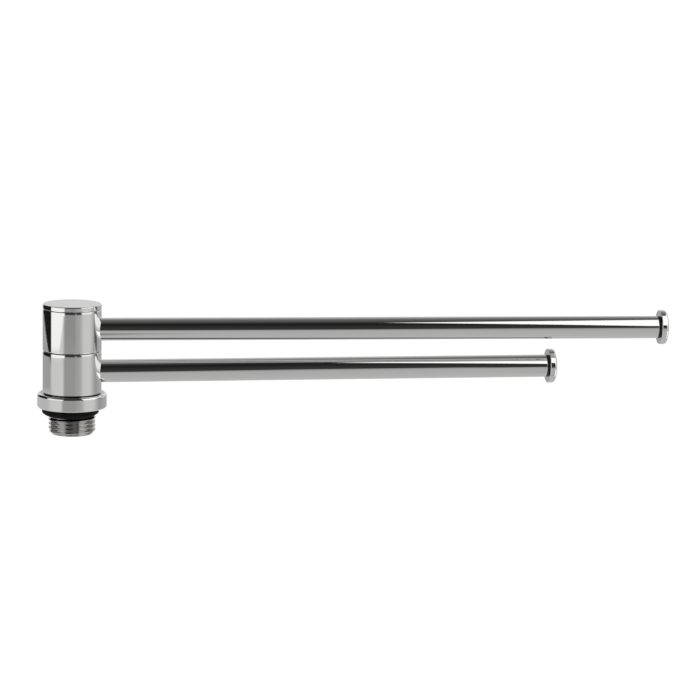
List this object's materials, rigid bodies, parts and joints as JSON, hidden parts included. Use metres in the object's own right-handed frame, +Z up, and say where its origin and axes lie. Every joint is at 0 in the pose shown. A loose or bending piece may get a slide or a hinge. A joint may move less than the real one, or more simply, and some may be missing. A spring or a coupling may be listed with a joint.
{
  "type": "swivel towel rail",
  "caption": "Swivelling towel rail for a towel warmer: a round hub on a threaded spigot carries polished tube arms of different lengths that swing about it, each with an end button.",
  "frame": {"origin": "centre of the collar's underside, the face that seats on the towel warmer's port", "axes": "+Z up along the hub's axis, +X along the longer, upper arm at rest; the spigot points along -Z"},
  "size_m": [0.2842, 0.0308, 0.0583],
  "materials": {
    "polished_chrome": "mirror polished and plated",
    "turned_steel": "fine turned",
    "spring_steel": "tempered, oiled",
    "black_rubber": "smooth moulded nitrile",
    "black_acetal": "smooth moulded",
    "white_acetal": "smooth turned"
  },
  "bodies": {
    "base": {"threaded_base": "polished_chrome", "port_seal": "black_rubber", "spindle": "turned_steel", "collar_washer": "black_acetal", "middle_washer": "black_acetal", "thrust_washer": "turned_steel", "disc_spring": "spring_steel", "cap_washer": "white_acetal", "cap": "polished_chrome"},
    "lower_arm": {"lower_barrel": "polished_chrome", "lower_barrel_bottom_bush": "white_acetal", "lower_barrel_top_bush": "white_acetal", "lower_arm_tube": "polished_chrome", "lower_end_sleeve": "black_acetal", "lower_end_button": "polished_chrome"},
    "upper_arm": {"upper_barrel": "polished_chrome", "upper_barrel_bottom_bush": "white_acetal", "upper_barrel_top_bush": "white_acetal", "upper_arm_tube": "polished_chrome", "upper_end_sleeve": "black_acetal", "upper_end_button": "polished_chrome"}
  },
  "joints": [
    {"name": "lower_arm_swivel", "type": "hinge", "parent": "base", "child": "lower_arm", "pos_m": [0, 0, 0.016], "axis": [0, 0, 1], "continuous": true},
    {"name": "upper_arm_swivel", "type": "hinge", "parent": "base", "child": "upper_arm", "pos_m": [0, 0, 0.0348], "axis": [0, 0, 1], "continuous": true}
  ]
}
